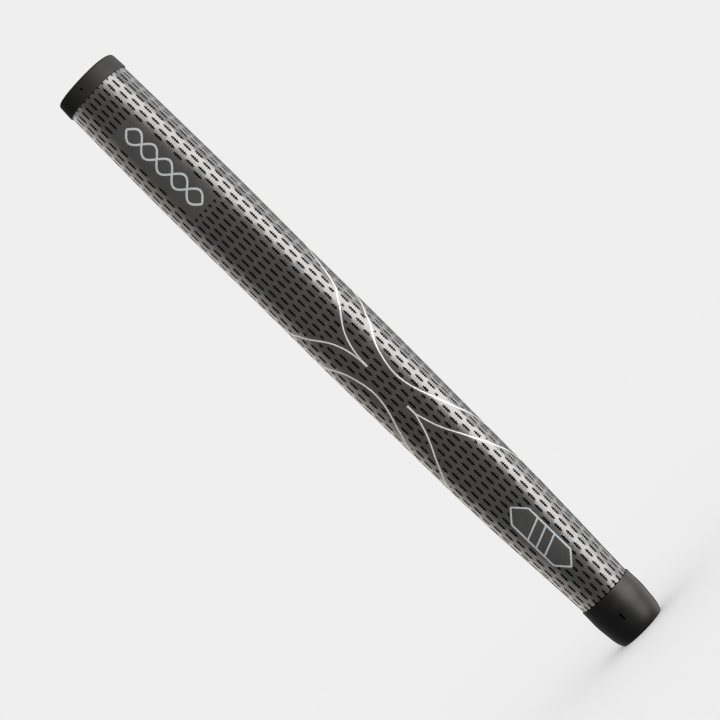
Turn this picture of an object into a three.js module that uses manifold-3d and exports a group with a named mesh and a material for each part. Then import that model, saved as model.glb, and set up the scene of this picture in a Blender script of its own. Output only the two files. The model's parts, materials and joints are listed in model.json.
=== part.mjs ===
// Putter grip: a foam sleeve wrapped in a textile-backed polymer panel, closed by a rubber butt
// cap and a rubber mouth collar, with silver lines printed on the panel.
// Millimetres. The grip stands on its mouth: +Z runs along the shaft bore towards the butt, the
// origin is the centre of the mouth face, and the flat front of the grip looks towards -Y.
import * as THREE from "three";
import { mergeVertices } from "three/addons/utils/BufferGeometryUtils.js";
import Module from "manifold-3d";

const LENGTH = 270;
const BORE_RADIUS = 7.35; // for a 0.580 in shaft, 14.7 mm
const GAP = 0.3; // clearance between pieces that would touch
const GLUE = 0.2; // glue film between the layers of the wrap
const SIDES = 40; // facets round the grip

// The wrapped body from mouth to butt: height, radius, how far the front is flattened, and the
// power of its front half's rounding: 2 is an ellipse, more squares the shoulders up.
const BODY = [
  [18.5, 10.28, 0, 2],
  [28, 10.57, 0, 2.25],
  [40.8, 11.06, 0.05, 2.5],
  [52, 11.43, 0.1, 2.9],
  [68.6, 11.95, 0.25, 3.4],
  [102, 12.42, 0.6, 3.4],
  [135, 12.83, 1.0, 3.35],
  [175, 12.83, 1.3, 3.2],
  [211, 13.09, 1.3, 3.1],
  [236, 12.92, 1.1, 2.9],
  [250, 12.77, 0.85, 2.6],
  [263.2, 12.62, 0.6, 2.3],
];
const SKIN = 0.6; // polymer skin
const BACKING = 0.5; // textile backing
const TUCK_DEPTH = 0.6; // step down of the wrap's edges where they go under the rubber lips
const TUCK_RAMP = 0.4;
const MOUTH_TUCK = 15; // where the tucked edges end
const BUTT_TUCK = 265.4;
const SEAM = THREE.MathUtils.degToRad(4); // half the opening between the panel's long edges
const SEAM_STRIP = THREE.MathUtils.degToRad(2.4); // half the width of the strip that seals it
const SEAM_RECESS = 0.1;

const COLLAR_LIP = 18; // height of the lip's edge
const COLLAR_FLAT = 8.7; // outer radius of the flat mouth face
const COLLAR_FLOOR = 1.5; // thickness of the collar's end ring
const SLOT = { height: 9, wall: 10.69, length: 3, width: 0.9, depth: 0.6 };

const CAP_LIP = 263.7;
const CAP_INSIDE = 267.6; // height of the cap's inner face
const VENT_RADIUS = 1.6;
const DIMPLE = { height: 267.1, wall: 12.95, radius: 0.5, depth: 0.5 };
const DIMPLE_ANGLE = THREE.MathUtils.degToRad(-4);
const WASHER = { bottom: 266.2, top: 267.3, radius: 8.4 };

const PRINT = 0.12; // thickness of the silver print
const PRINT_LIFT = 0.06;
const LINE_WIDTH = 0.5;
const DEVELOPED_RADIUS = 13; // turns an angle on the wrap into a length across it

const wasm = await Module();
wasm.setup();

// ---- section of the wrapped body ----

// Radius, flattening and power at a height, read between the rows of BODY.
function bodyAt(z) {
  const above = BODY.find(([height]) => height >= z) ?? BODY.at(-1);
  const below = BODY.findLast(([height]) => height < z) ?? BODY[0];
  const t = above === below ? 0 : (z - below[0]) / (above[0] - below[0]);
  const [radius, flat, power] = [1, 2, 3].map((i) => THREE.MathUtils.lerp(below[i], above[i], t));
  return { radius, flat, power };
}

// How far the surface lies inside the full circle: positive on the flat front line, negative on
// the shoulders beside it, nothing on the round back.
function frontInset(angle, z) {
  const { radius, flat, power } = bodyAt(z);
  const forwards = Math.cos(angle);
  if (forwards <= 0) return 0;
  const side = (Math.abs(Math.sin(angle)) / radius) ** power;
  const front = (forwards / (radius - flat)) ** power;
  return radius - (side + front) ** (-1 / power);
}

// A point at an angle from the front line, counted towards +X.
const around = (radius, angle, z) =>
  new THREE.Vector3(radius * Math.sin(angle), -radius * Math.cos(angle), z);

function mapVertices(geometry, move) {
  const { position } = geometry.attributes;
  const point = new THREE.Vector3();
  for (let i = 0; i < position.count; i++) {
    point.fromBufferAttribute(position, i);
    position.setXYZ(i, ...move(point).toArray());
  }
  return geometry;
}

// Shapes the front of a round piece; what lies inside the given radius stays round.
function flattenFront(geometry, roundInside = 9) {
  return mapVertices(geometry, (point) => {
    const radius = Math.hypot(point.x, point.y);
    if (radius < roundInside) return point;
    const angle = Math.atan2(point.x, -point.y);
    return around(radius - frontInset(angle, point.z), angle, point.z);
  });
}

// ---- builders ----

const byHeight = (points) => points.map(([z, radius]) => new THREE.Vector2(radius, z));

// A turned piece from its outer line and its inner line, both running from mouth to butt.
function turned(outer, inner) {
  const loop = [...byHeight(outer), ...byHeight(inner).reverse()];
  loop.push(loop[0].clone());
  return flattenFront(new THREE.LatheGeometry(loop, SIDES).rotateX(Math.PI / 2));
}

// The same profile run part of the way round, with closed ends. angleAt maps 0..1 to an angle
// and runs backwards, which keeps the faces outwards.
function wrapped(outer, inner, angleAt, steps) {
  const shape = new THREE.Shape([...byHeight(outer), ...byHeight(inner).reverse()]);
  const strip = new THREE.ExtrudeGeometry(shape, { depth: 1, steps, bevelEnabled: false });
  return flattenFront(mapVertices(strip, ({ x, y, z }) => around(x, angleAt(z), y)));
}

// The line of the wrap at a depth below its surface, with the tucked edges at both ends.
function wrapLine(depth) {
  const [mouth, butt] = [BODY[0], BODY.at(-1)];
  const edge = (row, z) => [z, row[1] - TUCK_DEPTH - depth];
  return [
    edge(mouth, MOUTH_TUCK),
    edge(mouth, mouth[0] - TUCK_RAMP),
    ...BODY.map(([z, radius]) => [z, radius - depth]),
    edge(butt, butt[0] + TUCK_RAMP),
    edge(butt, BUTT_TUCK),
  ];
}

// A printed line laid on the wrap. The path maps 0..1 to a place across and along the wrap.
function printedLine(path, steps, width = LINE_WIDTH) {
  const strip = new THREE.BoxGeometry(width, PRINT, 1, 1, 1, steps);
  return mapVertices(strip, ({ x, y, z }) => {
    const along = z + 0.5;
    const tangent = path.getTangent(along);
    const place = path.getPoint(along).add(new THREE.Vector2(-tangent.y, tangent.x).multiplyScalar(x));
    const angle = place.x / DEVELOPED_RADIUS;
    const surface = bodyAt(place.y).radius - frontInset(angle, place.y);
    return around(surface + PRINT_LIFT + PRINT / 2 + y, angle, place.y);
  });
}

// A smooth path through places given as degrees from the front line and height.
const pathThrough = (places) =>
  new THREE.SplineCurve(
    places.map(([degrees, z]) =>
      new THREE.Vector2(THREE.MathUtils.degToRad(degrees) * DEVELOPED_RADIUS, z),
    ),
  );
const mirrored = (places) => places.map(([degrees, z]) => [-degrees, z]);

function solid(geometry) {
  const bare = geometry.clone();
  bare.deleteAttribute("normal");
  bare.deleteAttribute("uv");
  const merged = mergeVertices(bare, 1e-3);
  return new wasm.Manifold(
    new wasm.Mesh({
      numProp: 3,
      vertProperties: merged.attributes.position.array,
      triVerts: new Uint32Array(merged.index.array),
    }),
  );
}

function geometryOf(body) {
  const { vertProperties, triVerts } = body.getMesh();
  return new THREE.BufferGeometry()
    .setAttribute("position", new THREE.BufferAttribute(vertProperties, 3))
    .setIndex(new THREE.BufferAttribute(triVerts, 1));
}

const join = (...pieces) => geometryOf(pieces.map(solid).reduce((all, piece) => all.add(piece)));
const cut = (piece, tool) => geometryOf(solid(piece).subtract(solid(tool)));

// ---- materials ----

const finish = (color, roughness, metalness = 0) =>
  new THREE.MeshStandardMaterial({ color, roughness, metalness });
const foam = finish(0x3a3a3c, 0.95);
const textile = finish(0x55565a, 0.95);
const polymer = finish(0x4b4a4a, 0.45);
const sealant = finish(0x2e2e2e, 0.5);
const capRubber = finish(0x262626, 0.7);
const collarRubber = finish(0x2a2a2a, 0.65);
const washerPlastic = finish(0x8f9296, 0.4);
const silver = finish(0xcfd3d6, 0.35, 0.6);
const motifSilver = finish(0xaab2b8, 0.4, 0.6);

const grip = new THREE.Group();
function add(name, geometry, material) {
  const mesh = new THREE.Mesh(geometry, material);
  mesh.name = name;
  geometry.computeVertexNormals();
  grip.add(mesh);
}

// ---- the sleeve and the wrap ----

const sleeveDepth = SKIN + BACKING + 2 * GLUE;
const sleeveLine = wrapLine(sleeveDepth);
const sleeveMouthRadius = sleeveLine[0][1];
const sleeveButtRadius = sleeveLine.at(-1)[1];
const sleeveMouth = COLLAR_FLOOR + GAP;
const sleeveButt = CAP_INSIDE - GAP;

function shaftSleeve() {
  const outer = [
    [sleeveMouth, sleeveMouthRadius],
    ...sleeveLine.slice(1, -1),
    [sleeveButt, sleeveButtRadius],
  ];
  const seat = WASHER.bottom - GAP;
  const inner = [
    [sleeveMouth, BORE_RADIUS],
    [seat, BORE_RADIUS],
    [seat, WASHER.radius + GAP],
    [sleeveButt, WASHER.radius + GAP],
  ];
  return turned(outer, inner);
}

// The panel's facets line up with those of the turned sleeve; only its long edges stop short.
const panelAngle = (t) =>
  THREE.MathUtils.clamp(THREE.MathUtils.lerp(Math.PI, -Math.PI, t), SEAM - Math.PI, Math.PI - SEAM);
const panel = (top, bottom) => wrapped(wrapLine(top), wrapLine(bottom), panelAngle, SIDES);

const stripAngle = (t) => Math.PI + THREE.MathUtils.lerp(SEAM_STRIP, -SEAM_STRIP, t);
const seamStrip = () =>
  wrapped(wrapLine(SEAM_RECESS), wrapLine(sleeveDepth - GLUE), stripAngle, 2);

add("shaft_sleeve", shaftSleeve(), foam);
add("wrap_backing", panel(SKIN + GLUE, SKIN + GLUE + BACKING), textile);
add("wrap_skin", panel(0, SKIN), polymer);
add("rear_seam_strip", seamStrip(), sealant);

// ---- the butt end ----

function buttCap() {
  const panelRadius = BODY.at(-1)[1] - TUCK_DEPTH;
  const outer = [
    [CAP_LIP, 12.99],
    [CAP_LIP + 0.3, 13.09],
    [266.7, 12.97],
    [268.7, 12.87],
    [269.2, 12.8],
    [269.6, 12.67],
    [269.85, 12.42],
    [LENGTH, 12.02],
  ];
  const recessTop = BUTT_TUCK + GAP;
  const inner = [
    [CAP_LIP, panelRadius + GAP],
    [recessTop, panelRadius + GAP],
    [recessTop, sleeveButtRadius + GAP],
    [CAP_INSIDE, sleeveButtRadius + GAP],
    [CAP_INSIDE, VENT_RADIUS],
    [LENGTH, VENT_RADIUS],
  ];
  const dimple = new THREE.CylinderGeometry(DIMPLE.radius, DIMPLE.radius, 2 * DIMPLE.depth, 12);
  const surface = DIMPLE.wall - frontInset(DIMPLE_ANGLE, DIMPLE.height);
  dimple.translate(...around(surface, DIMPLE_ANGLE, DIMPLE.height).toArray());
  return cut(turned(outer, inner), dimple);
}

function stopWasher() {
  const line = (radius) => [
    [WASHER.bottom, radius],
    [WASHER.top, radius],
  ];
  return turned(line(WASHER.radius), line(VENT_RADIUS));
}

add("butt_cap", buttCap(), capRubber);
add("shaft_stop_washer", stopWasher(), washerPlastic);

// ---- the mouth end ----

function mouthCollar() {
  const panelRadius = BODY[0][1] - TUCK_DEPTH;
  const outer = [
    [0, COLLAR_FLAT],
    [0.2, 9],
    [0.7, 9.25],
    [1.66, 9.65],
    [3.7, 10.13],
    [5.8, 10.38],
    [7.9, 10.58],
    [10, 10.78],
    [12.5, 10.85],
    [15.2, 10.75],
    [COLLAR_LIP - 0.3, 10.72],
    [COLLAR_LIP, 10.6],
  ];
  const recess = MOUTH_TUCK - GAP;
  const inner = [
    [0, BORE_RADIUS],
    [COLLAR_FLOOR, BORE_RADIUS],
    [COLLAR_FLOOR, sleeveMouthRadius + GAP],
    [recess, sleeveMouthRadius + GAP],
    [recess, panelRadius + GAP],
    [COLLAR_LIP, panelRadius + GAP],
  ];
  const slot = new THREE.BoxGeometry(SLOT.width, 2 * SLOT.depth, SLOT.length);
  slot.translate(0, -SLOT.wall, SLOT.height);
  return cut(turned(outer, inner), slot);
}

add("mouth_collar", mouthCollar(), collarRubber);

// ---- silver print ----

// Each chevron is a pair of mirrored lines that run side by side at the front line and then part.
const UPPER_CHEVRON = [
  [1.5, 131],
  [1.7, 134.5],
  [8, 141.6],
  [16, 145.4],
  [35.2, 151.6],
  [56.3, 159.2],
  [70, 166.8],
  [80, 171],
  [93, 174.5],
  [108, 178.5],
];
const LOWER_CHEVRON = [
  [1.5, 111.6],
  [1.7, 107.1],
  [9.6, 101.1],
  [18.3, 96.6],
  [36.9, 87.9],
  [57, 79.7],
  [76, 75.3],
  [110, 66.5],
];
// The sweeps come in from the sides between the chevrons and turn back before the front line.
const SWEEP = [
  [112, 156.6],
  [90, 150.9],
  [73.5, 147.4],
  [50.9, 140.8],
  [33.3, 133.9],
  [24.5, 126.1],
  [23, 122],
  [30.3, 112.8],
  [44.5, 103.7],
  [57.1, 97.8],
  [74, 93.3],
  [100, 85.2],
];
const LINES = { upper_chevron: UPPER_CHEVRON, lower_chevron: LOWER_CHEVRON, sweep: SWEEP };
const LINE_STEPS = 44;

for (const [name, places] of Object.entries(LINES)) {
  add(`${name}_right`, printedLine(pathThrough(places), LINE_STEPS), silver);
  add(`${name}_left`, printedLine(pathThrough(mirrored(places)), LINE_STEPS), silver);
}

// The motif on the smooth panel near the butt: two waves that cross each other.
const MOTIF = { from: 210, to: 246.4, halfWaves: 5, swing: 2.9, width: 0.75 };

function wave(side) {
  const places = [];
  const rows = MOTIF.halfWaves * 4;
  for (let i = 0; i <= rows; i++) {
    const across = side * MOTIF.swing * Math.sin((i / rows) * MOTIF.halfWaves * Math.PI);
    const z = THREE.MathUtils.lerp(MOTIF.from, MOTIF.to, i / rows);
    places.push(new THREE.Vector2(across, z));
  }
  return printedLine(new THREE.SplineCurve(places), MOTIF.halfWaves * 6, MOTIF.width);
}

// The badge near the mouth: a long hexagon with slanted bars across it.
const BADGE = { height: 47.7, long: 14.5, shoulder: 10, half: 4.1, width: 0.6 };

function badge() {
  const { height, long, shoulder, half, width } = BADGE;
  const corner = (across, along) => new THREE.Vector2(across, height + along);
  const corners = [
    corner(0, -long),
    corner(half, -shoulder),
    corner(half, shoulder),
    corner(0, long),
    corner(-half, shoulder),
    corner(-half, -shoulder),
  ];
  const sides = corners.map((from, i) => [from, corners[(i + 1) % corners.length]]);
  const bars = [-4, 0, 4].map((at) => [corner(-half, at - 1.6), corner(half, at + 1.6)]);
  const strokes = [...sides, ...bars].map(([from, to]) => {
    const reach = to.clone().sub(from).setLength(width / 3);
    return printedLine(new THREE.LineCurve(from.clone().sub(reach), to.clone().add(reach)), 6, width);
  });
  return join(...strokes);
}

add("butt_motif", join(wave(1), wave(-1)), motifSilver);
add("mouth_badge", badge(), motifSilver);

export default grip;
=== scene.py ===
"""Looks of a wrapped putter grip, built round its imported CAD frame.

Lengths in this script are millimetres until a mesh is made. Angles on the grip are counted from
its front line, which looks towards -Y, and are positive towards +X. Heights run from the mouth
towards the butt.
"""

import json
import math

import bmesh
import bpy
import numpy as np
from mathutils import Matrix, Quaternion, Vector

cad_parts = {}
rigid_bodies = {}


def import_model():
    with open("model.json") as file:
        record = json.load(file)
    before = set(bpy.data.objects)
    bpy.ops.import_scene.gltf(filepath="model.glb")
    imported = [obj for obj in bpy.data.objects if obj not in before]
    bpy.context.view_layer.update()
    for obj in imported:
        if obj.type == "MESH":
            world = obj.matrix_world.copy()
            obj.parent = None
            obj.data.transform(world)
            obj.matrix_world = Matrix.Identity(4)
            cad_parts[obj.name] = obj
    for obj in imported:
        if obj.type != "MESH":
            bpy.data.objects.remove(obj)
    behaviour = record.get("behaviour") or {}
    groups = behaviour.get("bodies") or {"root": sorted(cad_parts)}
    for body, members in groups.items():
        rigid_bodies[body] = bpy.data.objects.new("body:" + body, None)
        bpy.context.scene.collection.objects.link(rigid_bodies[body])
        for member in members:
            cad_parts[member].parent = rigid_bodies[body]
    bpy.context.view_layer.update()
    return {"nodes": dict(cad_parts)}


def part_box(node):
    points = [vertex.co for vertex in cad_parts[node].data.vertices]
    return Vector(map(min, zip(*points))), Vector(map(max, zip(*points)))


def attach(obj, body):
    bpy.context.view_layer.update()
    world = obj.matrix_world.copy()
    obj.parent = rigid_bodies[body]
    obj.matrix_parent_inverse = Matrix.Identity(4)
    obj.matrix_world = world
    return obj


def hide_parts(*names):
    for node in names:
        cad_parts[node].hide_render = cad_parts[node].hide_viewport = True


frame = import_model()

MM = 0.001
BODY = "root"


def box_mm(node):
    """Lowest and highest corner of a CAD node, in millimetres."""
    low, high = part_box(node)
    return np.array(low) / MM, np.array(high) / MM


LENGTH = box_mm("butt_cap")[1][2]
COLLAR_LIP = box_mm("mouth_collar")[1][2]
CAP_LIP = box_mm("butt_cap")[0][2]
WRAP_ENDS = (box_mm("wrap_skin")[0][2], box_mm("wrap_skin")[1][2])


# ---------------------------------------------------------------- camera

CAMERA_AZIMUTH = math.radians(11)
CAMERA_DISTANCE = 0.885
CAMERA_HEIGHT = 0.4563 * LENGTH * MM
AIM_HEIGHT = 0.4974 * LENGTH * MM
AIM_ASIDE = 0.0024  # the picture's centre lies a little to the left of the grip's axis
ROLL = math.radians(45.46)  # the grip lies across the picture, butt at the upper left
LENS = 127.9


def add_camera():
    back = Vector((math.sin(CAMERA_AZIMUTH), -math.cos(CAMERA_AZIMUTH), 0))
    right = Vector((math.cos(CAMERA_AZIMUTH), math.sin(CAMERA_AZIMUTH), 0))
    location = Vector((0, 0, CAMERA_HEIGHT)) + back * CAMERA_DISTANCE
    target = Vector((0, 0, AIM_HEIGHT)) - right * AIM_ASIDE
    ahead = (target - location).normalized()
    level = ahead.cross(Vector((0, 0, 1))).normalized()
    upright = level.cross(ahead)
    across = level * math.cos(ROLL) - upright * math.sin(ROLL)
    upward = level * math.sin(ROLL) + upright * math.cos(ROLL)
    camera = bpy.data.objects.new("camera", bpy.data.cameras.new("camera"))
    bpy.context.scene.collection.objects.link(camera)
    camera.data.lens = LENS
    camera.data.clip_start = 0.01
    camera.matrix_world = (
        Matrix.Translation(location) @ Matrix((across, upward, -ahead)).transposed().to_4x4()
    )
    bpy.context.scene.camera = camera


add_camera()


# ---------------------------------------------------------------- the wrapped body's section


HALF = math.sqrt(0.5)  # sine and cosine of the shoulder's angle
POWERS = np.linspace(1.6, 5, 3401)  # the powers that are tried
SAME_HEIGHT, SAME_ANGLE = 0.02, 0.01  # how closely a vertex lies at a height and an angle


def read_body_rows():
    """Height, side radius, front radius and power of the wrap, read off the CAD skin's outer face.
    The power says how square the front half's shoulders are; 2 is an ellipse."""
    co = np.array([v.co for v in frame["nodes"]["wrap_skin"].data.vertices]) / MM
    radius = np.hypot(co[:, 0], co[:, 1])
    angle = np.abs(np.arctan2(co[:, 0], -co[:, 1]))
    read = []
    for height in np.unique(np.round(co[:, 2], 2)):
        level = np.abs(co[:, 2] - height) < SAME_HEIGHT
        found = [level & (np.abs(angle - at) < SAME_ANGLE) for at in (math.pi / 2, 0, math.pi / 4)]
        if all(one.any() for one in found):
            side, front, shoulder = (radius[one].max() for one in found)
            reach = ((HALF / side) ** POWERS + (HALF / front) ** POWERS) ** (-1 / POWERS)
            read.append((height, side, front, POWERS[np.argmin(np.abs(reach - shoulder))]))
    return np.array(read)


rows = read_body_rows()
TUCKED_ROWS = 2  # at each end, under the rubber lips
EDGE_LOW, EDGE_HIGH = rows[TUCKED_ROWS, 0], rows[-TUCKED_ROWS - 1, 0]
TUCK_DEPTH = rows[TUCKED_ROWS, 1] - rows[0, 1]
TUCK_RAMP = 0.16  # the wrap runs right up to the lips before it steps down
body_rows = rows[TUCKED_ROWS:-TUCKED_ROWS]


def smooth_curve(x, known_x, known_y):
    """A smooth curve through the known points, level beyond them."""
    x = np.clip(x, known_x[0], known_x[-1])
    slope = np.gradient(known_y, known_x)
    i = np.clip(np.searchsorted(known_x, x) - 1, 0, len(known_x) - 2)
    step = known_x[i + 1] - known_x[i]
    t = (x - known_x[i]) / step
    return (
        (2 * t**3 - 3 * t**2 + 1) * known_y[i]
        + (t**3 - 2 * t**2 + t) * step * slope[i]
        + (3 * t**2 - 2 * t**3) * known_y[i + 1]
        + (t**3 - t**2) * step * slope[i + 1]
    )


def side_radius(z):
    return smooth_curve(z, body_rows[:, 0], body_rows[:, 1])


def front_inset(angle, z):
    """How far the front half lies inside the full circle; less than nothing on the shoulders."""
    side = side_radius(z)
    front = smooth_curve(z, body_rows[:, 0], body_rows[:, 2])
    power = smooth_curve(z, body_rows[:, 0], body_rows[:, 3])
    forwards = np.cos(angle)
    sideways = (np.abs(np.sin(angle)) / side) ** power
    ahead = (np.maximum(forwards, 0) / front) ** power
    return np.where(forwards > 0, side - (sideways + ahead) ** (-1 / power), 0)


def tuck(z):
    """How far the wrap's edges step down to go under the lips."""
    beyond = np.maximum(COLLAR_LIP - z, z - CAP_LIP)
    t = np.clip(1 + beyond / TUCK_RAMP, 0, 1)
    return TUCK_DEPTH * t * t * (3 - 2 * t)


def around(radius, angle, z):
    return np.stack([radius * np.sin(angle), -radius * np.cos(angle), z], axis=-1)


def on_wrap(angle, z, depth):
    """Points at a depth below the wrap's surface."""
    radius = side_radius(z) - front_inset(angle, z) - tuck(z) - depth
    return around(radius, angle, z)


ARC_HEIGHTS = np.linspace(EDGE_LOW, EDGE_HIGH, 241)
ARC_ANGLES = np.linspace(0, math.pi + 0.5, 481)  # a little past the back line


def arc_table():
    """Lengths round the surface from the front line, by height and angle; alike on both sides."""
    angle, z = np.meshgrid(ARC_ANGLES, ARC_HEIGHTS)
    radius = side_radius(z) - front_inset(angle, z)
    x, y = radius * np.sin(angle), radius * np.cos(angle)
    lengths = np.cumsum(np.hypot(np.diff(x, axis=1), np.diff(y, axis=1)), axis=1)
    return np.concatenate([np.zeros((len(ARC_HEIGHTS), 1)), lengths], axis=1)


arcs = arc_table()


def table_rows(z):
    """The two rows of the table next to each height, and the share of the upper one."""
    place = np.clip((z - EDGE_LOW) / (EDGE_HIGH - EDGE_LOW), 0, 1) * (len(ARC_HEIGHTS) - 1)
    lower = np.minimum(place.astype(int), len(ARC_HEIGHTS) - 2)
    return lower, place - lower


def arc_at(angle, z):
    """Length round the surface from the front line to an angle, with the angle's sign."""
    angle, z = np.broadcast_arrays(np.asarray(angle, float), np.asarray(z, float))
    lower, share = table_rows(z)
    column = np.minimum(np.abs(angle) / (ARC_ANGLES[1] - ARC_ANGLES[0]), len(ARC_ANGLES) - 1.001)
    left, part = column.astype(int), column % 1
    below = arcs[lower, left] * (1 - part) + arcs[lower, left + 1] * part
    above = arcs[lower + 1, left] * (1 - part) + arcs[lower + 1, left + 1] * part
    return np.sign(angle) * (below * (1 - share) + above * share)


def angle_at(across, z):
    """The angle at a length round the surface from the front line."""
    across, z = np.broadcast_arrays(np.asarray(across, float), np.asarray(z, float))
    lower, share = table_rows(z)
    result = np.empty(across.shape)
    for row in np.unique(lower):
        here = lower == row
        length = np.abs(across[here])
        below, above = (np.interp(length, arcs[r], ARC_ANGLES) for r in (row, row + 1))
        result[here] = below * (1 - share[here]) + above * share[here]
    return np.sign(across) * result


# ---------------------------------------------------------------- meshes


SMOOTH_BELOW = math.radians(40)  # edges that turn by more than this stay sharp
SIDES = 144  # facets round a turned piece
ROUND_INSIDE = 9.0  # what lies inside this radius isn't flattened with the front


def new_object(name, points_mm, faces, smooth_below=SMOOTH_BELOW):
    mesh = bpy.data.meshes.new(name)
    mesh.from_pydata((np.asarray(points_mm) * MM).tolist(), [], faces)
    mesh.validate()
    mesh.shade_smooth()
    mesh.set_sharp_from_angle(angle=smooth_below)
    made = bpy.data.objects.new(name, mesh)
    bpy.context.scene.collection.objects.link(made)
    return made


def finish_piece(piece, materials, slot, *nodes):
    for material in materials:
        piece.data.materials.append(material)
    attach(piece, BODY)
    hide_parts(*nodes)


def arc(center, radius, start, end, steps=6):
    """Points (height, radius) on a quarter round or less; angles in degrees from outwards to up."""
    angles = np.radians(np.linspace(start, end, steps))
    return [
        (center[0] + radius * math.sin(a), center[1] + radius * math.cos(a)) for a in angles
    ]


def turned(name, outer, inner):
    """A turned ring from its outer and inner line, both (height, radius) from mouth to butt.
    Its front is flattened like the wrap."""
    loop = np.array(list(outer) + list(inner)[::-1])
    angles = np.linspace(0, 2 * math.pi, SIDES, endpoint=False) - math.pi
    angle, height = np.meshgrid(angles, loop[:, 0], indexing="ij")
    radius = np.broadcast_to(loop[:, 1], angle.shape)
    inset = np.where(radius > ROUND_INSIDE, front_inset(angle, height), 0)
    points = around(radius - inset, angle, height).reshape(-1, 3)
    n = len(loop)
    faces = []
    for i in range(SIDES):
        for j in range(n):
            a, b = i * n + j, i * n + (j + 1) % n
            c, d = ((i + 1) % SIDES) * n + (j + 1) % n, ((i + 1) % SIDES) * n + j
            faces.append((a, d, c, b))
    return new_object(name, points, faces)


def cut_away(piece, tool):
    """Cuts the tool's shape out of a piece, with the tool's material inside, and drops the tool."""
    cut = piece.modifiers.new("cut", "BOOLEAN")
    cut.operation, cut.object, cut.solver = "DIFFERENCE", tool, "EXACT"
    cut.material_mode = "TRANSFER"
    bpy.context.view_layer.objects.active = piece
    bpy.ops.object.modifier_apply(modifier=cut.name)
    bpy.data.objects.remove(tool)
    piece.data.set_sharp_from_angle(angle=SMOOTH_BELOW)


def capsule_tool(height, length, width, radius, depth, angle):
    """A round-ended bar that lies along the grip's surface at a radius and an angle, to cut a
    slot or a dimple. Inside the cut it takes the near-black material without reflection: painted
    shade."""
    profile = bmesh.new()
    sphere = bmesh.ops.create_uvsphere(profile, u_segments=24, v_segments=16, radius=width / 2)
    stretch = max(length - width, 0) / 2
    for v in sphere["verts"]:
        v.co.z += math.copysign(stretch, v.co.z) if abs(v.co.z) > 1e-6 else 0
        v.co.y *= 2 * depth / width
        v.co += Vector((radius * math.sin(angle), -radius * math.cos(angle), height))
    bmesh.ops.scale(profile, vec=(MM, MM, MM), verts=profile.verts)
    mesh = bpy.data.meshes.new("tool")
    profile.to_mesh(mesh)
    profile.free()
    mesh.materials.append(recess_painted_shade)
    made = bpy.data.objects.new("tool", mesh)
    bpy.context.scene.collection.objects.link(made)
    return made


# ---------------------------------------------------------------- printed lines and graphics

# Lines on the wrap as (degrees from the front line, height); each is mirrored to the other side.
UPPER_CHEVRON = [
    (0.85, 130.9), (1.1, 134.5), (3.4, 138.0), (8.0, 141.6), (16.0, 145.4), (25.2, 148.5),
    (35.2, 151.6), (45.2, 155.2), (52.6, 157.3), (56.3, 159.2), (62.5, 162.9), (70.0, 166.8),
    (80.0, 171.0), (93.0, 174.5), (108, 178.5),
]
LOWER_CHEVRON = [
    (0.85, 111.7), (1.1, 107.1), (3.4, 105.4), (9.6, 101.1), (18.3, 96.6), (27.7, 92.4),
    (36.9, 87.9), (46.0, 84.0), (57, 79.7), (76, 75.3), (90, 71.8), (110, 66.5),
]
SWEEP = [
    (112, 156.6), (90, 150.9), (73.5, 147.4), (57.5, 143.9), (50.9, 140.8), (40.7, 137.4),
    (33.3, 133.9), (28.2, 130.0), (24.5, 126.1), (23.0, 122.0), (25.7, 117.0), (30.3, 112.8),
    (36.8, 108.4), (44.5, 103.7), (57.1, 97.8), (74, 93.3), (88, 89.5), (100, 85.2),
]
LINE_WIDTH = 0.48
TIP_TAPER = 7.0  # length over which a chevron's two lines thin out towards their common tip
TIP_SHARE = 0.7  # of the full width, at the tip
LINE_MARGIN = 0.8  # smooth wrap on each side of a line, where no dash is embossed
PATH_STEP = 0.5
# The section of a printed line, as (share of its width, height above the wrap).
PRINT_SECTION = (
    (-0.5, -0.05), (-0.5, 0.033), (-0.36, 0.054), (0, 0.06), (0.36, 0.054), (0.5, 0.033),
    (0.5, -0.05),
)
PRINT_SMOOTH_BELOW = math.radians(50)


def fine_path(places):
    """A smooth path through places, as points (angle, height) about a step apart."""
    places = np.array(places, float)
    angle, height = np.radians(places[:, 0]), places[:, 1]
    across = arc_at(angle, height)
    travelled = np.concatenate([[0], np.cumsum(np.hypot(np.diff(across), np.diff(height)))])
    along = np.linspace(0, travelled[-1], int(travelled[-1] / PATH_STEP) + 1)
    return np.stack(
        [smooth_curve(along, travelled, angle), smooth_curve(along, travelled, height)], axis=-1
    )


def mirrored(path):
    return path * np.array([-1, 1])


LINES = {
    "upper_chevron": fine_path(UPPER_CHEVRON),
    "lower_chevron": fine_path(LOWER_CHEVRON),
    "sweep": fine_path(SWEEP),
}

STROKE_STEPS = 24  # points along a wave of the motif or a stroke of the badge
STROKE_MARGIN = 0.3  # from the ends of the CAD print to those of the strokes' middle lines

# The motif near the butt: two lines that cross in waves, on the smooth panel.
MOTIF_LOW, MOTIF_HIGH = (box_mm("butt_motif")[i][2] for i in (0, 1))
MOTIF_WAVES = 5  # half waves
MOTIF_SWING = 2.9
MOTIF_WIDTH = 0.75

# The badge near the mouth: a long hexagon with slanted bars.
BADGE_LOW, BADGE_HIGH = (box_mm("mouth_badge")[i][2] for i in (0, 1))
BADGE_MIDDLE = (BADGE_LOW + BADGE_HIGH) / 2
BADGE_HALF_LENGTH = (BADGE_HIGH - BADGE_LOW) / 2 - STROKE_MARGIN
BADGE_SHOULDER = 10.0
BADGE_HALF_WIDTH = 4.1
BADGE_LINE = 0.6
BADGE_BARS = (-4.0, 0.0, 4.0)
BADGE_SLANT = 1.6


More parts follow.
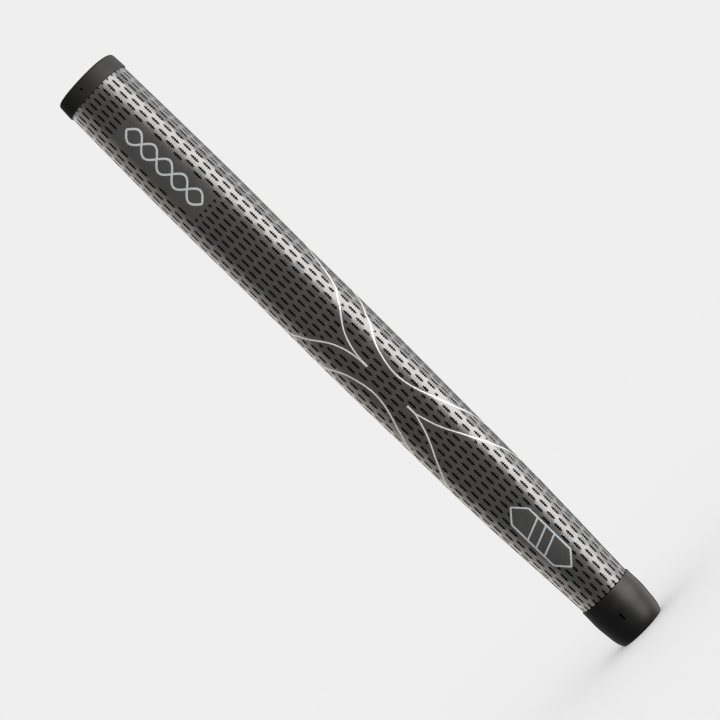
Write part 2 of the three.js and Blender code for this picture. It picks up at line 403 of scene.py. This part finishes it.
def ribbon(path, width, taper):
    """Points and faces of a domed strip along a path of (angle, height), laid on the wrap.
    Over the taper's length from the start it widens to its full width."""
    flat = np.stack([arc_at(path[:, 0], path[:, 1]), path[:, 1]], axis=-1)
    ahead = np.gradient(flat, axis=0)
    ahead /= np.linalg.norm(ahead, axis=1, keepdims=True)
    aside = np.stack([-ahead[:, 1], ahead[:, 0]], axis=-1)
    if taper:
        travelled = np.cumsum(np.hypot(*np.diff(flat, axis=0, prepend=flat[:1]).T))
        width = width * np.interp(travelled, [0, taper], [TIP_SHARE, 1])[:, None]
    points = []
    for share, lift in PRINT_SECTION:
        place = flat + aside * share * width
        points.append(on_wrap(angle_at(place[:, 0], place[:, 1]), place[:, 1], -lift))
    count, rows_across = len(path), len(PRINT_SECTION)
    points = np.stack(points, axis=1).reshape(-1, 3)
    faces = []
    for i in range(count - 1):
        for j in range(rows_across):
            a, b = i * rows_across + j, i * rows_across + (j + 1) % rows_across
            faces.append((a, a + rows_across, b + rows_across, b))
    faces.append(tuple(range(rows_across)))
    faces.append(tuple((count - 1) * rows_across + j for j in reversed(range(rows_across))))
    return points, faces


def ribbons(name, paths, width, taper=0.0):
    points, faces = [], []
    for path in paths:
        more, more_faces = ribbon(path, width, taper)
        start = sum(len(p) for p in points)
        points.append(more)
        faces += [tuple(start + i for i in face) for face in more_faces]
    return new_object(name, np.concatenate(points), faces, PRINT_SMOOTH_BELOW)


def motif_paths():
    share = np.linspace(0, 1, MOTIF_WAVES * STROKE_STEPS + 1)
    height = MOTIF_LOW + STROKE_MARGIN + share * (MOTIF_HIGH - MOTIF_LOW - 2 * STROKE_MARGIN)
    across = MOTIF_SWING * np.sin(share * MOTIF_WAVES * math.pi)
    return [np.stack([angle_at(side * across, height), height], axis=-1) for side in (1, -1)]


def badge_paths():
    def straight(start, end):
        points = np.linspace(start, end, STROKE_STEPS)
        return np.stack([angle_at(points[:, 0], points[:, 1]), points[:, 1]], axis=-1)

    def corner(across, along):
        return (across, BADGE_MIDDLE + along)

    half, shoulder, far = BADGE_HALF_WIDTH, BADGE_SHOULDER, BADGE_HALF_LENGTH
    corners = [corner(0, -far), corner(half, -shoulder), corner(half, shoulder),
               corner(0, far), corner(-half, shoulder), corner(-half, -shoulder)]
    sides = [straight(a, b) for a, b in zip(corners, corners[1:] + corners[:1])]
    bars = [
        straight(corner(-half, at - BADGE_SLANT), corner(half, at + BADGE_SLANT))
        for at in BADGE_BARS
    ]
    return sides + bars


# ---------------------------------------------------------------- the embossed skin

RING_PITCH = 4.64  # from one ring of dashes to the next, along the grip
FIRST_RING = 260.0  # height of the first whole ring below the cap
RINGS_ABOVE, RINGS_BELOW = 1, 52
MEAN_PITCH = 2.4  # of the dashes round the grip
# Spacing of the dashes round the grip, by height.
COLUMN_PITCH = np.array([
    (26, 2.47), (33, 2.50), (67, 2.47), (77, 2.46), (113, 2.42), (162, 2.375), (176, 2.347),
    (190, 2.334), (204, 2.33), (260, 2.27),
])
# How far the rings lie from their even spacing, by height.
RING_SHIFT = np.array([
    (26, -0.38), (50, -0.55), (70, -0.65), (150, -0.6), (175, -0.42), (205, -0.25), (255, 0.0),
])
# How far the rings' dashes are turned from the front line towards +X, in spacings, by height.
RING_TURN = np.array([
    (28, 0.63), (65, 0.66), (79, 0.68), (112, 0.60), (121, 0.56), (158, 0.33), (167, 0.29),
    (176, 0.23), (190, 0.19), (204, 0.15), (251, 0.0), (260, -0.04),
])
# One half of a dash, from its middle to its tip: (distance, half width). Teeth stand out of a
# groove, the outer ones smaller.
DASH_OUTLINE = (
    (0, 0.63), (0.15, 0.58), (0.28, 0.25), (0.55, 0.25), (0.7, 0.6), (0.95, 0.6), (1.1, 0.25),
    (1.5, 0.36), (1.88, 0.16),
)
GROOVE_DEPTH = 0.34
TIP_DEPTH = 0.75 * GROOVE_DEPTH
TIP_LEAN = 0.12  # a groove's deepest line ends this far inside its outline
PLATE = (208.1, 248.8)  # the smooth panel for the motif
PLATE_SIDES = np.radians((-29.5, 26.5))
SEAM_ANGLE = math.radians(176)
TRIM_ANGLE = 0.2  # faces are made this far past the seam, and then trimmed off
TRIM_REACH = 1e-5
DASH_SMOOTH_BELOW = math.radians(28)


def dash_arc(column, z):
    """Length round the surface from the front line to a place counted in dash spacings."""
    turn = smooth_curve(z, *RING_TURN.T)
    return (column + turn) * smooth_curve(z, *COLUMN_PITCH.T)


def dash_cell():
    """One dash and the wrap round it, as points (along, across, depth) and faces.
    Along is in millimetres, across in columns. The neighbours share its edge points."""
    outline = [(-along, half) for along, half in DASH_OUTLINE[:0:-1]] + list(DASH_OUTLINE)
    stations, widths = zip(*outline)
    points = []

    def add(along, across, depth=0.0):
        points.append((along, across, depth))
        return len(points) - 1

    last = len(stations) - 1
    columns = {}
    for i, along in enumerate(stations):
        half = widths[i] / MEAN_PITCH
        lean, depth = (TIP_LEAN, TIP_DEPTH) if i in (0, last) else (0, GROOVE_DEPTH)
        columns[i] = [
            add(along, -0.5), add(along, -half),
            add(along - math.copysign(lean, along), 0, depth),
            add(along, half), add(along, 0.5),
        ]
    faces = []
    for i in range(last):
        for j in range(4):
            a, b = columns[i][j], columns[i][j + 1]
            c, d = columns[i + 1][j + 1], columns[i + 1][j]
            faces.append(((a, b, c, d), j in (1, 2)))
    for i, edge in ((0, -RING_PITCH / 2), (last, RING_PITCH / 2)):
        left, middle, right = add(edge, -0.5), add(edge, 0), add(edge, 0.5)
        outer_left, inner_left, centre, inner_right, outer_right = columns[i]
        for face in ((left, middle, inner_left, outer_left), (middle, inner_right, inner_left),
                     (middle, right, outer_right, inner_right)):
            faces.append((face if i == 0 else face[::-1], False))
        tip = (inner_left, inner_right, centre)
        faces.append((tip if i == 0 else tip[::-1], True))
    return np.array(points), faces


def distance_to_path(across, z, path):
    """Distance on the wrap from each point to a path, both as millimetres round and along."""
    line = np.stack([arc_at(path[:, 0], path[:, 1]), path[:, 1]], axis=-1)[::2]
    start, step = line[:-1], np.diff(line, axis=0)
    nearest = np.full(len(z), 1e9)
    for (x0, z0), (dx, dz) in zip(start, step):
        t = np.clip(((across - x0) * dx + (z - z0) * dz) / (dx * dx + dz * dz), 0, 1)
        nearest = np.minimum(nearest, np.hypot(across - x0 - t * dx, z - z0 - t * dz))
    return nearest


def embossed(angle, z):
    """Where the dashes are embossed: not beside a line, on the smooth panel or by the badge."""
    across = arc_at(angle, z)
    free = np.ones(len(z), bool)
    for path in LINES.values():
        for one in (path, mirrored(path)):
            free &= distance_to_path(across, z, one) > LINE_WIDTH / 2 + LINE_MARGIN
    on_plate = (z > PLATE[0]) & (z < PLATE[1]) & (angle > PLATE_SIDES[0]) & (angle < PLATE_SIDES[1])
    free &= ~on_plate
    beyond_shoulder = np.maximum(np.abs(z - BADGE_MIDDLE) - BADGE_SHOULDER, 0)
    taper = BADGE_HALF_WIDTH * beyond_shoulder / (BADGE_HALF_LENGTH - BADGE_SHOULDER)
    free &= np.abs(across) > BADGE_HALF_WIDTH + LINE_MARGIN - taper
    return free


def tiled_cells():
    """Every dash with its surroundings, as points (angle, height, depth), faces, and for each face
    whether it lies in a groove. Points that neighbouring cells share are one."""
    cell, cell_faces = dash_cell()
    most_columns = int(arc_at(math.pi, PLATE[0]) / COLUMN_PITCH[-1, 1]) + 3
    points, faces, grooved = [], [], []
    for ring in range(-RINGS_ABOVE, RINGS_BELOW + 1):
        for column in range(-most_columns, most_columns + 1):
            start = len(points) * len(cell)
            shift = column + 0.5 * (ring % 2)
            points.append(cell + np.array([FIRST_RING - ring * RING_PITCH, shift, 0]))
            for face, is_groove in cell_faces:
                faces.append([start + i for i in face])
                grooved.append(is_groove)
    points = np.concatenate(points)
    z = points[:, 0] + smooth_curve(points[:, 0], *RING_SHIFT.T)
    angle = angle_at(dash_arc(points[:, 1], z), z)
    keys = np.round(np.stack([angle, z], axis=-1), 5)
    _, first, index = np.unique(keys, axis=0, return_index=True, return_inverse=True)
    faces = [index.reshape(-1)[face] for face in faces]
    return angle[first], z[first], points[first, 2], faces, grooved


def flat_panel():
    """The wrap before it is wrapped round: a mesh of (angle, height, depth), trimmed to its edges
    and split where it steps down under the lips."""
    angle, z, depth, faces, grooved = tiled_cells()
    cut_in = np.flatnonzero(depth > 0)
    depth[cut_in] *= embossed(angle[cut_in], z[cut_in])
    panel = bmesh.new()
    vertices = [panel.verts.new(co) for co in zip(angle, z, depth)]
    near = np.abs(angle) < SEAM_ANGLE + TRIM_ANGLE
    for corners, is_groove in zip(faces, grooved):
        if near[corners].all():
            made = panel.faces.new([vertices[i] for i in corners])
            # Groove faces take the near-black material without reflection: painted shade in the
            # dashes.
            made.material_index = int(is_groove and depth[corners].max() > 0)

    def split(place, direction, trim=False):
        everything = panel.verts[:] + panel.edges[:] + panel.faces[:]
        bmesh.ops.bisect_plane(
            panel, geom=everything, dist=TRIM_REACH, plane_co=place, plane_no=direction,
            clear_outer=trim,
        )

    split((SEAM_ANGLE, 0, 0), (1, 0, 0), trim=True)
    split((-SEAM_ANGLE, 0, 0), (-1, 0, 0), trim=True)
    split((0, WRAP_ENDS[0], 0), (0, -1, 0), trim=True)
    split((0, WRAP_ENDS[1], 0), (0, 1, 0), trim=True)
    for lip, step in ((COLLAR_LIP, TUCK_RAMP), (CAP_LIP, -TUCK_RAMP)):
        for height in (lip, lip + step / 2, lip + step):
            split((0, height, 0), (0, 1, 0))
    loose = [v for v in panel.verts if not v.link_faces]
    bmesh.ops.delete(panel, geom=loose, context="VERTS")
    return panel


def wrap_skin():
    panel = flat_panel()
    mesh = bpy.data.meshes.new("wrap_skin_embossed")
    panel.to_mesh(mesh)
    panel.free()
    flat = np.array([v.co for v in mesh.vertices])
    points = on_wrap(flat[:, 0], flat[:, 1], flat[:, 2]) * MM
    mesh.vertices.foreach_set("co", points.astype(np.float32).ravel())
    mesh.update()
    mesh.shade_smooth()
    mesh.set_sharp_from_angle(angle=DASH_SMOOTH_BELOW)
    skin = bpy.data.objects.new("wrap_skin_embossed", mesh)
    bpy.context.scene.collection.objects.link(skin)
    finish_piece(skin, [polymer, recess_painted_shade], "polymer", "wrap_skin")


# ---------------------------------------------------------------- materials


class Nodes:
    """Short names for the few node calls that the materials make."""

    def __init__(self, name):
        self.material = bpy.data.materials.new(name)
        self.material.use_nodes = True
        self.tree = self.material.node_tree
        self.shader = self.tree.nodes["Principled BSDF"]
        self.place = self.tree.nodes.new("ShaderNodeTexCoord").outputs["Object"]

    def link(self, start, end):
        self.tree.links.new(start, end)

    def set(self, **values):
        for name, value in values.items():
            self.shader.inputs[name.replace("_", " ")].default_value = value

    def noise(self, scale, detail):
        node = self.tree.nodes.new("ShaderNodeTexNoise")
        node.inputs["Scale"].default_value = scale
        node.inputs["Detail"].default_value = detail
        node.inputs["Roughness"].default_value = 0.55
        self.link(self.place, node.inputs["Vector"])
        return node.outputs["Fac"]

    def ramp(self, value, *stops):
        """Blends between two colours, each given with its place on the ramp."""
        node = self.tree.nodes.new("ShaderNodeValToRGB")
        for element, (at, color) in zip(node.color_ramp.elements, stops):
            element.position = at
            element.color = (*color, 1)
        self.link(value, node.inputs["Fac"])
        return node.outputs["Color"]

    def range(self, value, low, high):
        node = self.tree.nodes.new("ShaderNodeMapRange")
        node.inputs["To Min"].default_value = low
        node.inputs["To Max"].default_value = high
        self.link(value, node.inputs["Value"])
        return node.outputs["Result"]

    def bump(self, value, strength, distance_mm):
        node = self.tree.nodes.new("ShaderNodeBump")
        node.inputs["Strength"].default_value = strength
        node.inputs["Distance"].default_value = distance_mm * MM
        self.link(value, node.inputs["Height"])
        self.link(node.outputs["Normal"], self.shader.inputs["Normal"])


MOTTLE = 220  # noise cells per metre, for the uneven colour


def grained(name, dark, light, roughness, grain=4000, bump=0.35, depth=0.04, **values):
    """A moulded or coated surface: mottled colour, uneven gloss and a fine grain, in cells per
    metre, with a bump of the given strength and depth in millimetres."""
    n = Nodes(name)
    mottle = n.noise(MOTTLE, 5)
    n.link(n.ramp(mottle, (0.3, dark), (0.7, light)), n.shader.inputs["Base Color"])
    fine = n.noise(grain, 3)
    n.link(n.range(fine, *roughness), n.shader.inputs["Roughness"])
    n.bump(fine, bump, depth)
    n.set(**values)
    return n.material


polymer = grained(
    "wrap_polymer", (0.0085, 0.0085, 0.0085), (0.0122, 0.012, 0.0118), (0.26, 0.36),
    Specular_IOR_Level=0.5,
)
# Near-black with no reflection: painted shade in the dashes' grooves, the collar's slot and the
# cap's dimple.
recess_painted_shade = grained(
    "recess_painted_shade", (0.0008, 0.0008, 0.0008), (0.002, 0.002, 0.002), (0.8, 0.95),
    Specular_IOR_Level=0.0,
)
cap_rubber = grained(
    "cap_rubber", (0.001, 0.001, 0.001), (0.0022, 0.0022, 0.0022), (0.64, 0.74),
    Specular_IOR_Level=0.16,
)
collar_rubber = grained(
    "collar_rubber", (0.001, 0.001, 0.001), (0.0022, 0.0022, 0.0022), (0.4, 0.48),
    Specular_IOR_Level=0.12,
)
silver_print = grained(
    "silver_print", (0.15, 0.152, 0.155), (0.18, 0.182, 0.185), (0.3, 0.42), bump=0.15, depth=0.02,
    Specular_IOR_Level=0.9,
)
motif_print = grained(
    "motif_print", (0.11, 0.123, 0.132), (0.13, 0.143, 0.152), (0.32, 0.45), bump=0.15, depth=0.02,
)
foam = grained(
    "sleeve_foam", (0.035, 0.035, 0.037), (0.06, 0.06, 0.063), (0.85, 0.98), grain=2200, bump=0.8,
    depth=0.12, Specular_IOR_Level=0.2,
)
textile = grained(
    "backing_textile", (0.06, 0.06, 0.065), (0.11, 0.11, 0.115), (0.9, 1.0), grain=2600, bump=0.9,
    depth=0.15, Specular_IOR_Level=0.1,
)
sealant = grained(
    "seam_sealant", (0.014, 0.014, 0.014), (0.022, 0.022, 0.022), (0.4, 0.55), grain=1500,
)
nylon = grained("washer_nylon", (0.5, 0.5, 0.5), (0.6, 0.6, 0.6), (0.35, 0.5))


# ---------------------------------------------------------------- pieces

BORE_RADIUS = 7.35
VENT_RADIUS = 1.6
LIP_ROUND = 0.12  # of both rubber lips' edges
CLEARANCE = 0.3  # between the rubber and what it covers
LAYERS = 1.5  # thickness of the skin, the backing and their glue films
BUTT_PANEL = body_rows[-1, 1] - TUCK_DEPTH  # radius of the wrap under the cap
MOUTH_PANEL = body_rows[0, 1] - TUCK_DEPTH  # and under the collar

CAP_WALL = box_mm("butt_cap")[1][0]
CAP_THICKNESS = 2.4  # of the cap's end
CAP_END_ROUND = 0.85
CAP_END_INSET = 0.27  # the wall draws in by this much towards the end
CAP_LIP_INSET = 0.06
CAP_FLAT = 9.2  # radius of the ring that splits the flat end
# The cap's wall, as (height above the lip's edge, inset).
CAP_LINE = ((0.45, 0), (3.0, 0.12), (5.0, 0.22))
VENT_CHAMFER = 0.25
DIMPLE_HEIGHT, DIMPLE_RADIUS = LENGTH - 2.9, CAP_WALL - 0.14
DIMPLE_ANGLE = math.radians(-4)
DIMPLE_SIZE, DIMPLE_DEPTH = 1.0, 0.5

COLLAR_FLOOR = 1.5  # thickness of the collar's end ring
BORE_CHAMFER = 0.2
# The collar's outer line from the mouth face to its lip, as (height, radius).
COLLAR_LINE = np.array([
    (0, 8.7), (0.08, 8.88), (0.2, 9.0), (0.7, 9.25), (1.66, 9.65), (3.7, 10.13), (5.8, 10.38),
    (7.9, 10.58), (10, 10.78), (12.5, 10.85), (15.2, 10.75), (17.7, 10.72),
])
COLLAR_HEIGHTS = np.concatenate([
    np.linspace(0, 0.7, 6), np.linspace(1.0, COLLAR_LINE[-1, 0], 30),
])
SLOT_HEIGHT, SLOT_RADIUS = 9.0, 10.69
SLOT_LENGTH, SLOT_WIDTH, SLOT_DEPTH = 3.0, 0.9, 0.6


def butt_cap():
    lip = (CAP_LIP + LIP_ROUND, CAP_WALL - CAP_LIP_INSET - LIP_ROUND)
    end = (LENGTH - CAP_END_ROUND, CAP_WALL - CAP_END_INSET - CAP_END_ROUND)
    outer = [
        (CAP_LIP, BUTT_PANEL + CLEARANCE),
        *arc(lip, LIP_ROUND, -90, -8),
        *((CAP_LIP + height, CAP_WALL - inset) for height, inset in CAP_LINE),
        *arc(end, CAP_END_ROUND, 4, 90, 8),
        (LENGTH, CAP_FLAT),
    ]
    recess, inside = WRAP_ENDS[1] + CLEARANCE, LENGTH - CAP_THICKNESS
    sleeve = BUTT_PANEL - LAYERS + CLEARANCE
    inner = [
        (recess, BUTT_PANEL + CLEARANCE), (recess, sleeve), (inside, sleeve), (inside, VENT_RADIUS),
        (LENGTH - VENT_CHAMFER, VENT_RADIUS), (LENGTH, VENT_RADIUS + VENT_CHAMFER),
    ]
    cap = turned("butt_cap_moulded", outer, inner)
    cap.data.materials.append(cap_rubber)
    surface = DIMPLE_RADIUS - float(front_inset(np.array(DIMPLE_ANGLE), np.array(DIMPLE_HEIGHT)))
    dimple = capsule_tool(
        DIMPLE_HEIGHT, DIMPLE_SIZE, DIMPLE_SIZE, surface, DIMPLE_DEPTH, DIMPLE_ANGLE
    )
    cut_away(cap, dimple)
    finish_piece(cap, [], "cap_rubber", "butt_cap")


def mouth_collar():
    lip = (COLLAR_LIP - LIP_ROUND, COLLAR_LINE[-1, 1] - LIP_ROUND)
    outer = [
        *zip(COLLAR_HEIGHTS, smooth_curve(COLLAR_HEIGHTS, *COLLAR_LINE.T)),
        *arc(lip, LIP_ROUND, 10, 90),
        (COLLAR_LIP, MOUTH_PANEL + CLEARANCE),
    ]
    recess = WRAP_ENDS[0] - CLEARANCE
    sleeve = MOUTH_PANEL - LAYERS + CLEARANCE
    inner = [
        (0, BORE_RADIUS + BORE_CHAMFER), (BORE_CHAMFER, BORE_RADIUS), (COLLAR_FLOOR, BORE_RADIUS),
        (COLLAR_FLOOR, sleeve), (recess, sleeve), (recess, MOUTH_PANEL + CLEARANCE),
    ]
    collar = turned("mouth_collar_moulded", outer, inner)
    collar.data.materials.append(collar_rubber)
    cut_away(collar, capsule_tool(SLOT_HEIGHT, SLOT_LENGTH, SLOT_WIDTH, SLOT_RADIUS, SLOT_DEPTH, 0))
    finish_piece(collar, [], "collar_rubber", "mouth_collar")


wrap_skin()
butt_cap()
mouth_collar()
for name, path in LINES.items():
    for side, one in (("right", path), ("left", mirrored(path))):
        taper = TIP_TAPER if name.endswith("chevron") else 0
        line = ribbons(f"{name}_{side}_print", [one], LINE_WIDTH, taper)
        finish_piece(line, [silver_print], "silver_print", f"{name}_{side}")
for name, paths, width in (
    ("butt_motif", motif_paths(), MOTIF_WIDTH), ("mouth_badge", badge_paths(), BADGE_LINE),
):
    finish_piece(ribbons(f"{name}_print", paths, width), [motif_print], "motif_print", name)
for node, material in (
    ("shaft_sleeve", foam), ("wrap_backing", textile),
    ("rear_seam_strip", sealant), ("shaft_stop_washer", nylon),
):
    mesh = frame["nodes"][node].data
    mesh.materials.clear()
    mesh.materials.append(material)


# ---------------------------------------------------------------- floor, world and lights

BACKGROUND = 0.863  # linear, the pale grey backdrop
ROOM_LIGHT = 0.5  # the same studio's light on the grip
FLOOR_RADIUS = 0.9  # metres


def add_world():
    world = bpy.data.worlds.new("studio")
    bpy.context.scene.world = world
    world.use_nodes = True
    tree = world.node_tree
    backdrop = tree.nodes["Background"]
    backdrop.inputs["Color"].default_value = (BACKGROUND, BACKGROUND, BACKGROUND, 1)
    room = tree.nodes.new("ShaderNodeBackground")
    room.inputs["Color"].default_value = (ROOM_LIGHT, ROOM_LIGHT, ROOM_LIGHT, 1)
    seen = tree.nodes.new("ShaderNodeLightPath").outputs["Is Camera Ray"]
    mix = tree.nodes.new("ShaderNodeMixShader")
    tree.links.new(seen, mix.inputs["Fac"])
    tree.links.new(room.outputs["Background"], mix.inputs[1])
    tree.links.new(backdrop.outputs["Background"], mix.inputs[2])
    tree.links.new(mix.outputs["Shader"], tree.nodes["World Output"].inputs["Surface"])


def add_floor():
    """Pale paper that catches the grip's shadow."""
    shape = bmesh.new()
    bmesh.ops.create_circle(shape, cap_ends=True, segments=96, radius=FLOOR_RADIUS)
    mesh = bpy.data.meshes.new("floor")
    shape.to_mesh(mesh)
    shape.free()
    floor = bpy.data.objects.new("floor", mesh)
    bpy.context.scene.collection.objects.link(floor)
    n = Nodes("pale_paper")
    n.set(Base_Color=(0.8, 0.8, 0.8, 1), Roughness=0.9)
    mesh.materials.append(n.material)
    floor.is_shadow_catcher = True
    # The lamps reach below its level.
    floor.visible_shadow = floor.visible_glossy = floor.visible_diffuse = False


def lit_pieces(name, left_out=()):
    """A collection of the grip's pieces, for lamps that leave the floor alone."""
    lit = bpy.data.collections.new(name)
    for one in bpy.context.scene.objects:
        if one.type == "MESH" and one.name != "floor" and one.name not in left_out:
            lit.objects.link(one)
    return lit


def softbox(name, azimuth, distance, height, size, radiance, color, receivers, lean=0.0):
    """An upright rectangular light that faces the grip's axis from an azimuth round it. Its top
    leans towards the front by some degrees."""
    lamp = bpy.data.lights.new(name, "AREA")
    lamp.shape, lamp.size, lamp.size_y = "RECTANGLE", *size
    lamp.energy, lamp.color = radiance * math.pi * size[0] * size[1], color
    holder = bpy.data.objects.new(name, lamp)
    bpy.context.scene.collection.objects.link(holder)
    angle = math.radians(azimuth)
    holder.location = (distance * math.sin(angle), -distance * math.cos(angle), height)
    towards = Vector((-holder.location.x, -holder.location.y, 0))
    leant = Quaternion((0, 0, 1), math.radians(lean))
    holder.rotation_euler = (towards.to_track_quat("-Z", "Y") @ leant).to_euler()
    holder.visible_camera = False
    holder.light_linking.receiver_collection = receivers


add_world()
whole = lit_pieces("whole_grip")
wrap_only = lit_pieces("wrap_only", ("mouth_collar_moulded", "butt_cap_moulded"))
add_floor()
softbox("key", 64.5, 0.35, 0.155, (0.43, 0.55), 16.3, (1.0, 0.965, 0.93), whole, lean=26)
softbox("behind_right", 130, 0.4, 0.12, (0.36, 0.72), 2.5, (1.0, 1.0, 1.0), whole)
softbox("fill_left", -95, 0.4, 0.12, (0.8, 0.72), 2.9, (1.0, 0.93, 0.85), wrap_only)

scene = bpy.context.scene
scene.view_settings.view_transform = "Standard"
